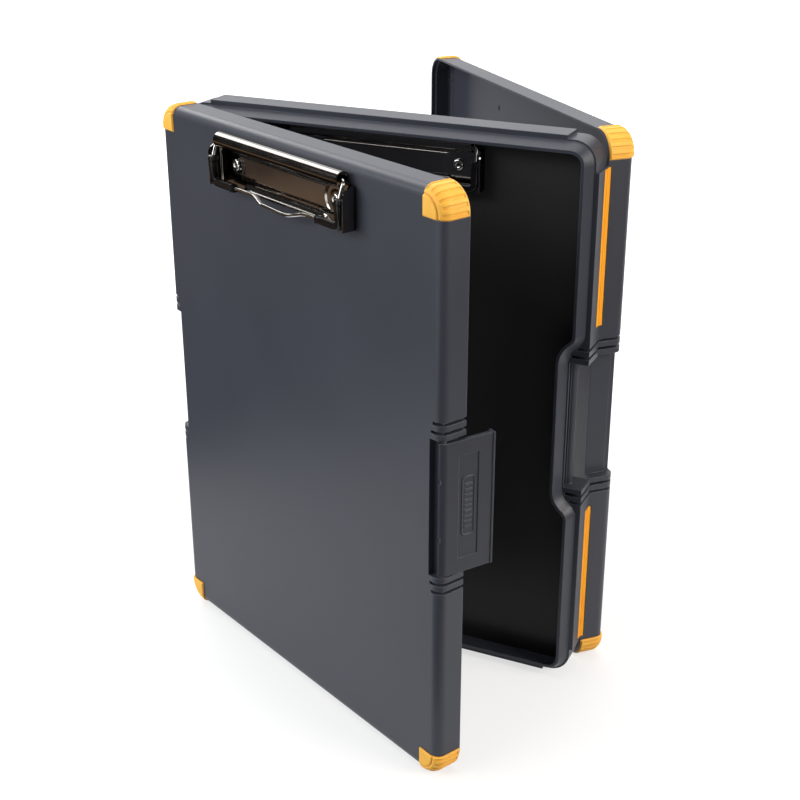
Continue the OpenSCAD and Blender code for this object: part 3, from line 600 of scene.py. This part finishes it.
def plated_steel(name, colour, roughness, smear):
    """Nickel plate: a dark or bright mirror with faint drawn lines, and smears where hands have been.

    Faces that look up, and still more those that look sideways, are painted darker as painted shade:
    each share of the normal past a limit takes some of the colour away.
    """
    mat, tree, shader = new_material(name)
    coords = object_coords(tree)
    stretch = tree.nodes.new("ShaderNodeMapping")
    stretch.inputs["Scale"].default_value = (40, 40, 900)
    feed(tree, stretch.inputs["Vector"], coords["Object"])
    lines = noise(tree, stretch.outputs["Vector"], scale=3, detail=4)
    cloud = noise(tree, coords["Object"], scale=60, detail=3)
    facing = axes_of(tree, coords["Normal"])
    sideways = worked(tree, "ABSOLUTE", facing["X"])
    left_over = [mapped(tree, share, start, stop, 1, least)
                 for share, (start, stop, least) in ((sideways, SIDEWAYS_PAINTED_SHADE), (facing["Z"], UPWARD_PAINTED_SHADE))]
    shaded_colour = tree.nodes.new("ShaderNodeVectorMath")
    shaded_colour.operation = "SCALE"
    feed(tree, shaded_colour.inputs[0], mottled(tree, cloud, [c * 0.92 for c in colour], colour))
    feed(tree, shaded_colour.inputs["Scale"], worked(tree, "MULTIPLY", *left_over))
    feed(tree, shader.inputs["Base Color"], shaded_colour.outputs["Vector"])
    feed(tree, shader.inputs["Metallic"], 1)
    feed(tree, shader.inputs["Roughness"], mapped(tree, cloud, 0.35, 0.75, roughness, roughness + smear))
    feed(tree, shader.inputs["Normal"], bumped(tree, lines, strength=0.05, distance=0.00004))
    return mat


def plate_points(columns=260):
    """Middle surface of the pressed blank: a profile down its height, carried across its width.

    The profile starts at the foot, climbs the plate and rolls about the barrel's axis. Each row has its
    own half width, and beyond the plate's ends the row turns up about a small bend as the flange. Heights
    add the flared foot, the raised panel and the dish round each rivet.
    """
    end = CLIP_W / 2 - CLIP_T / 2
    roll_r = BARREL_R - CLIP_T / 2
    flat_y = np.linspace(-CLIP_H / 2, AXIS_Y, 100)
    roll = np.radians(np.linspace(*BARREL_TURN, 90))[1:]
    y = np.concatenate([flat_y, AXIS_Y + roll_r * np.cos(roll)])
    z = np.concatenate([np.full(flat_y.size, CLIP_T / 2), AXIS_Z + roll_r * np.sin(roll)])
    z[:flat_y.size] += (AXIS_Z - roll_r - CLIP_T / 2) * smooth(*RAMP, flat_y)
    # half width of each row, measured along the sheet
    full = end + FLANGE_H - FLANGE_BEND * (2 - math.pi / 2)
    lift = np.clip(flat_y - FLANGE_TOP + FLANGE_CORNER, 0, FLANGE_CORNER)
    rounded = full - FLANGE_CORNER + np.sqrt(np.maximum(FLANGE_CORNER ** 2 - lift ** 2, 0))
    flat_half = np.where(flat_y < FLANGE_TOP, rounded, BARREL_HALF + SHOULDER_W)
    flat_half = np.where(flat_y > FLANGE_TOP + SHOULDER_H, BARREL_HALF, flat_half)
    half = np.concatenate([flat_half, np.full(roll.size, BARREL_HALF)])
    across = half[:, None] * np.linspace(-1, 1, columns)[None]
    along = np.abs(across)
    turn = np.clip((along - end + FLANGE_BEND) / FLANGE_BEND, 0, math.pi / 2)
    beyond = np.clip(along - end + FLANGE_BEND - FLANGE_BEND * math.pi / 2, 0, None)
    x = np.sign(across) * (np.minimum(along, end - FLANGE_BEND) + FLANGE_BEND * np.sin(turn))
    rise = FLANGE_BEND * (1 - np.cos(turn)) + beyond
    # pressed relief of the plate
    rows_y = np.broadcast_to(y[:, None], x.shape)
    ax = np.abs(x)
    foot = np.clip((FOOT_Y - rows_y) / FOOT_H, 0, 1)
    relief = FOOT_OUT * (1 - smooth(*FOOT_HALF, ax)) * foot ** 2
    from_rivet = np.hypot(ax - RIVET_X, rows_y)
    box_gap = np.maximum(ax - PANEL_HALF[0], np.abs(rows_y - PANEL_Y) - PANEL_HALF[1])
    panel = 1 - smooth(*PANEL_SLOPE, np.maximum(box_gap, RIVET_CLEAR - from_rivet))
    relief = relief + PANEL_RISE * panel * (1 - smooth(0, PANEL_FADE, foot))
    relief = relief - DISH_D * (1 - smooth(*DISH_R, from_rivet))
    on_plate = (np.arange(y.size) < flat_y.size)[:, None]
    height = z[:, None] + rise + np.where(on_plate, relief, 0)
    return np.stack([x, rows_y, height], axis=-1)


steel_mat = plated_steel("clip_steel", STEEL, STEEL_ROUGH, STEEL_SMEAR)
plate_grid = plate_points()
for clip, (body, _, place) in CLIPS.items():
    piece = grid_piece(clip + "_pressing", placed(plate_grid, place), steel_mat,
                       thickness=CLIP_T * MM, sharp=50)
    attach(piece, body)
    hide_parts(clip + "_plate")

# ---------------------------------------------------------------------------
# Rivets and springs.
# Two bright tubular rivets hold each plate to its board, spread over behind it. The torsion springs
# sit on the barrel's axis, inside the roll, and push the bail down.
# ---------------------------------------------------------------------------
BRIGHT_STEEL, BRIGHT_ROUGH = (0.78, 0.76, 0.73), 0.08
RIVET_SHANK, RIVET_HOLE, RIVET_HEAD = 3.0, 1.9, 6.2
RIVET_FLOOR = 0.5                # floor of the hole in the head
HEAD_H, CURL_H, CURL_INNER = 1.15, 0.75, 0.9    # the head, its curled rim, and the curl's end in the hole
RIVET_ROUND = 0.15
TAIL_OUT, TAIL_H, TAIL_HOLE = 1.0, 0.8, 0.6     # spread past the shank, height, and reach of its hole
TAIL_EDGE = (0.1, 0.75)          # the spread tail's rim, in from its widest and down from the board
BOARDS = {"outer_clip": 2.2, "inner_clip": DIVIDER_T}   # thickness of what each clip is riveted to


def rivet_points(board, columns=48):
    """Tubular rivet: one profile of radius and height turned about its axis, round again to its start.

    From the floor of the head's hole the profile climbs, curls over half an ellipse to the plate, runs
    through the board along the shank and spreads behind it.
    """
    hole, head, shank = RIVET_HOLE / 2, RIVET_HEAD / 2, RIVET_SHANK / 2
    crown = CLIP_T + HEAD_H
    curl = np.radians(np.linspace(180, 0, 24))
    reach = (head - hole) / 2
    profile = [(0, RIVET_FLOOR), (hole, RIVET_FLOOR), (hole, crown - CURL_INNER)]
    profile += [(hole + reach + reach * math.cos(a), crown - CURL_H + CURL_H * math.sin(a)) for a in curl]
    tail = shank + TAIL_OUT
    profile += [(head - RIVET_ROUND, CLIP_T), (shank, CLIP_T), (shank, -board), (tail, -board - RIVET_ROUND),
                (tail - TAIL_EDGE[0], -board - TAIL_EDGE[1]), (hole, -board - TAIL_H),
                (hole, -board + TAIL_HOLE), (0, -board + TAIL_HOLE)]
    profile = np.array(profile)
    turn = np.linspace(0, 2 * math.pi, columns, endpoint=False)
    ring = np.stack([np.cos(turn), np.sin(turn)], axis=-1)
    xy = profile[:, None, :1] * ring[None]
    return np.concatenate([xy, np.broadcast_to(profile[:, None, 1:], (*xy.shape[:2], 1))], axis=-1)


bright_mat = plated_steel("bright_steel", BRIGHT_STEEL, BRIGHT_ROUGH, STEEL_SMEAR)
for clip, (body, _, place) in CLIPS.items():
    for side, x_sign in (("left", -1), ("right", 1)):
        grid = placed(rivet_points(BOARDS[clip]) + (x_sign * RIVET_X, 0, 0), place)
        piece = grid_piece(f"{clip}_rivet_{side}", grid, bright_mat, loop_rows=True)
        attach(piece, body)
        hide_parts(clip + "_rivets")
    finish_node(clip + "_springs", bright_mat)
for lid in ("front", "rear"):
    finish_node(lid + "_latch_pin", bright_mat)

# ---------------------------------------------------------------------------
# Bails.
# Each bail is one bright wire, bent into a frame whose ends turn in the barrel. Its lower bar bows
# down in the middle as a finger loop, and black rubber sleeves on its corners grip the paper. The
# outer bail's legs are bowed, and the inner one's are straight, to open within the tray.
# ---------------------------------------------------------------------------
WIRE_D, WIRE_BEND = 2.2, 3.2
BAIL_REACH, BAIL_LIFT = 23.5, 2.6
BAIL_END_X = 18.0                # the wire's ends, from the middle of the barrel
BAIL_BOWS = {"outer_clip": 2.4, "inner_clip": 0.0}
SLEEVE_GAP, SLEEVE_ROOM = 0.4, 2.5              # from flange to sleeve, and on to the sleeve's middle
LEG_X = CLIP_W / 2 - CLIP_T - SLEEVE_GAP - SLEEVE_ROOM
LOOP_DROP, LOOP_LEFT = 4.0, (-20.5, -10.5)      # the bar drops steeply over this stretch
LOOP_STEEP, LOOP_REST = 0.85, 0.15              # shares of the drop before and after its end
LOOP_LOWEST, LOOP_RIGHT = 4, (9, 29.5)          # lowest from here, and rising over this stretch
# the sleeves' second colour is a painted shade colour; the sleeves carry no shade share, so it does not show
SLEEVE_BLACK, SLEEVE_SHADE, SLEEVE_ROUGH = (0.007, 0.006, 0.006), (0.005, 0.005, 0.005), 0.24
SLEEVE_UP, SLEEVE_IN = 14, 19    # from the bar up the leg, and from the leg in along the bar
SLEEVE_HALF, SLEEVE_SQUARE = 2.3, 3.2
LEG_COLLAR = (0.25, 2.2, 2.8)    # how much thicker, and where it fades, from the sleeve's end
BAR_COLLAR = (0.2, 2.0, 2.6)
bail_tilt = math.asin(BAIL_LIFT / BAIL_REACH)


def lower_corner(count):
    """The wire's lower right corner: a quarter turn of the bend's radius, from the leg to the bar."""
    turn = np.radians(np.linspace(0, 90, count))
    return np.stack([LEG_X - WIRE_BEND + WIRE_BEND * np.cos(turn),
                     WIRE_BEND - BAIL_REACH - WIRE_BEND * np.sin(turn)], axis=-1)


def bail_route():
    """The bail's wire from its left end in the barrel round to its right end, as points in its plane.

    The bar's drop is a steep smooth step at the loop's left, a slow one on to its lowest point, and a slow
    one back up.
    """
    turn = np.radians(np.linspace(0, 90, 14))
    top = np.stack([np.linspace(BAIL_END_X, LEG_X - WIRE_BEND, 20), np.zeros(20)], axis=-1)
    upper_corner = np.stack([LEG_X - WIRE_BEND + WIRE_BEND * np.sin(turn),
                             -WIRE_BEND + WIRE_BEND * np.cos(turn)], axis=-1)
    leg = np.stack([np.full(16, LEG_X), np.linspace(-WIRE_BEND, WIRE_BEND - BAIL_REACH, 16)], axis=-1)
    half = np.concatenate([top, upper_corner[1:], leg[1:], lower_corner(14)[1:]])
    x = np.linspace(WIRE_BEND - LEG_X, LEG_X - WIRE_BEND, 180)[1:-1]
    drop = smooth(*LOOP_LEFT, x) * (LOOP_STEEP + LOOP_REST * smooth(LOOP_LEFT[1], LOOP_LOWEST, x))
    drop = drop * (1 - smooth(*LOOP_RIGHT, x))
    bar = np.stack([x, -BAIL_REACH - LOOP_DROP * drop], axis=-1)
    return np.concatenate([half * (-1, 1), bar, half[::-1]])


def sleeve_route():
    """Route of the right sleeve, from its top on the leg round the corner and in along the bar."""
    leg = np.stack([np.full(30, LEG_X), np.linspace(SLEEVE_UP - BAIL_REACH, WIRE_BEND - BAIL_REACH, 30)],
                   axis=-1)
    bar = np.stack([np.linspace(LEG_X - WIRE_BEND, LEG_X - SLEEVE_IN, 36), np.full(36, -BAIL_REACH)],
                   axis=-1)
    return np.concatenate([leg, lower_corner(16)[1:], bar[1:]])


def sleeve_halves(route):
    """Half thickness along the sleeve: even, with a low collar at each end."""
    from_leg = np.concatenate([[0], np.cumsum(np.linalg.norm(np.diff(route, axis=0), axis=1))])
    halves = np.full(len(route), SLEEVE_HALF)
    for (thicker, start, stop), length in ((LEG_COLLAR, from_leg), (BAR_COLLAR, from_leg[-1] - from_leg)):
        halves += thicker * (1 - smooth(start, stop, length))
    return halves


def bowed(grid, bow):
    """Adds a bail's bow: half a sine over its reach, away from the plate."""
    down = np.clip(-grid[..., 1] / BAIL_REACH, 0, 1)
    return grid + np.stack([0 * down, 0 * down, bow * np.sin(math.pi * down)], axis=-1)


def swept(route, halves, power=2.0, columns=24, bulge=0.35):
    """Tube along a plane route: a rounded-square section of the given half size at each point.

    The section is a superellipse of the given power, across the route in the plane and along z. Each
    end closes over a low dome, which bulges by a share of the half size.
    """
    heading = np.gradient(route, axis=0)
    heading /= np.linalg.norm(heading, axis=1)[:, None]
    aside = np.stack([heading[:, 1], -heading[:, 0]], axis=-1)
    angle = np.linspace(0, 2 * math.pi, columns, endpoint=False)
    c, s = np.cos(angle), np.sin(angle)
    c, s = np.sign(c) * np.abs(c) ** (2 / power), np.sign(s) * np.abs(s) ** (2 / power)
    plan = route[:, None] + aside[:, None] * (halves[:, None] * c[None])[..., None]
    body = np.concatenate([plan, (halves[:, None] * s[None])[..., None]], axis=-1)
    caps = []
    for i, way in ((0, -1), (-1, 1)):
        middle, outwards = np.append(route[i], 0), way * np.append(heading[i], 0)
        closing = np.radians((30, 60, 80, 90))[:, None, None]
        centres = middle + outwards * halves[i] * bulge * np.sin(closing)
        caps.append(centres + (body[i] - middle) * np.cos(closing))
    return np.concatenate([caps[0][::-1], body, caps[1]])


rubber_mat = elastomer("sleeve_rubber", SLEEVE_BLACK, SLEEVE_SHADE, SLEEVE_ROUGH)
for clip, (_, bail_body, place) in CLIPS.items():
    plane = place @ Matrix.Translation((0, AXIS_Y * MM, AXIS_Z * MM)) @ Matrix.Rotation(-bail_tilt, 4, "X")
    route = bail_route()
    grid = bowed(swept(route, np.full(len(route), WIRE_D / 2)), BAIL_BOWS[clip])
    piece = grid_piece(clip + "_wire", placed(grid, plane), bright_mat, loop_rows=True)
    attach(piece, bail_body)
    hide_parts(clip + "_bail")
    route = sleeve_route()
    for side, x_sign in (("left", -1), ("right", 1)):
        grid = swept(route, sleeve_halves(route), power=SLEEVE_SQUARE, columns=40) * (x_sign, 1, 1)
        piece = grid_piece(f"{clip}_sleeve_{side}_rubber", placed(bowed(grid, BAIL_BOWS[clip]), plane),
                           rubber_mat, loop_rows=True)
        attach(piece, bail_body)
        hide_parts(f"{clip}_sleeve_{side}")

# ---------------------------------------------------------------------------
# Ejector marks.
# The mould's ejector pins leave two nubs inside the rear lid, near its top: a short peg on the side
# wall and a low oval mark on the face.
# ---------------------------------------------------------------------------
# where each stands, its half sizes, and whether it stands on the side wall
NUBS = (((LID_W / 2 - 2.2, 147.9, 12.6), (0.6, 0.6, 2.4), True),
        ((45.6, 143.9, WALL_DEPTH - 2.2), (0.9, 1.9, 0.5), False))
NUB_SINK = -0.35                 # angle below the wall at which a nub starts
NUB_SKIN = 0.2


def nub_points(across, tall, height, rows=14, columns=28):
    """Half an ellipsoid with the given half sizes, as rings that close at its crown and run into the wall."""
    tilt = np.linspace(NUB_SINK, math.pi / 2, rows)[:, None]
    turn = np.linspace(0, 2 * math.pi, columns, endpoint=False)[None]
    return np.stack([across * np.cos(tilt) * np.cos(turn), tall * np.cos(tilt) * np.sin(turn),
                     -height * np.sin(tilt) + 0 * turn], axis=-1)


for number, (at, half_sizes, on_side) in enumerate(NUBS):
    grid = nub_points(*half_sizes)
    grid = (grid[..., ::-1] if on_side else grid) + at
    piece = grid_piece(f"rear_lid_nub_{number}", placed(grid, LID_PLACES["rear_lid"]), shell_mat,
                       loop_rows=True, thickness=NUB_SKIN * MM, offset=-1)
    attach(piece, "rear_lid")

# ---------------------------------------------------------------------------
# Latch grips.
# In the middle of each latch's panel the mould leaves a low rounded frame with fine ribs across it,
# for a fingertip. It stands level with the plate round the panel.
# ---------------------------------------------------------------------------
LATCH_FACE = CASE_W / 2 - 1
LATCH_OPEN = 7                   # degrees, in the standing pose
PIN_AT = (LID_W / 2 - 2, 0, WALL_DEPTH - 4.3)
PANEL_DEEP, PANEL_MIDDLE = 0.5, -1.0
GRIP_HALF, GRIP_CORNER, GRIP_MARGIN = (17.0, 4.2), 2.6, 0.6
GRIP_GROUND, GRIP_RISE, GRIP_SINK = 0.03, PANEL_DEEP - 0.05, 0.4
SINK_OVER = (0.05, 0.5)          # the sheet sinks in over this distance past the outline
GRIP_SKIN = 0.3
FRAME_IN, FRAME_HALF = 0.5, (0.15, 0.5)         # frame's middle inside the outline, and its half width
RIB_PITCH, RIB_LAST = 3.0, 4
RIB_HALF_W, RIB_HALF_H = (0.35, 0.7), (2.0, 2.5)


def grip_points(rows=70, columns=260):
    """Low relief over a rectangle: a rounded frame and nine upright ribs, on a ground just above the panel.

    The frame follows the outline of a rounded rectangle, and past that outline the sheet sinks in.
    """
    y = np.linspace(-GRIP_HALF[0] - GRIP_MARGIN, GRIP_HALF[0] + GRIP_MARGIN, columns)[None]
    z = np.linspace(-GRIP_HALF[1] - GRIP_MARGIN, GRIP_HALF[1] + GRIP_MARGIN, rows)[:, None]
    past_y = np.maximum(np.abs(y) - GRIP_HALF[0] + GRIP_CORNER, 0)
    past_z = np.maximum(np.abs(z) - GRIP_HALF[1] + GRIP_CORNER, 0)
    edge = np.hypot(past_y, past_z) - GRIP_CORNER
    rim = 1 - smooth(*FRAME_HALF, np.abs(edge + FRAME_IN))
    from_rib = np.abs(y - np.clip(np.round(y / RIB_PITCH), -RIB_LAST, RIB_LAST) * RIB_PITCH)
    rib = (1 - smooth(*RIB_HALF_W, from_rib)) * (1 - smooth(*RIB_HALF_H, np.abs(z)))
    height = GRIP_GROUND + GRIP_RISE * np.maximum(rim, rib) - GRIP_SINK * smooth(*SINK_OVER, edge)
    return np.stack([LATCH_FACE - PANEL_DEEP + height, y + 0 * z, PANEL_MIDDLE + z + 0 * y], axis=-1)


pin = Matrix.Translation(Vector(PIN_AT) * MM)
swing = pin @ Matrix.Rotation(math.radians(-LATCH_OPEN), 4, "Y") @ pin.inverted()
for lid in ("front", "rear"):
    grid = placed(grip_points(), LID_PLACES[lid + "_lid"] @ swing)
    piece = grid_piece(lid + "_latch_grip", grid, latch_mat, thickness=GRIP_SKIN * MM, offset=-1)
    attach(piece, lid + "_latch")
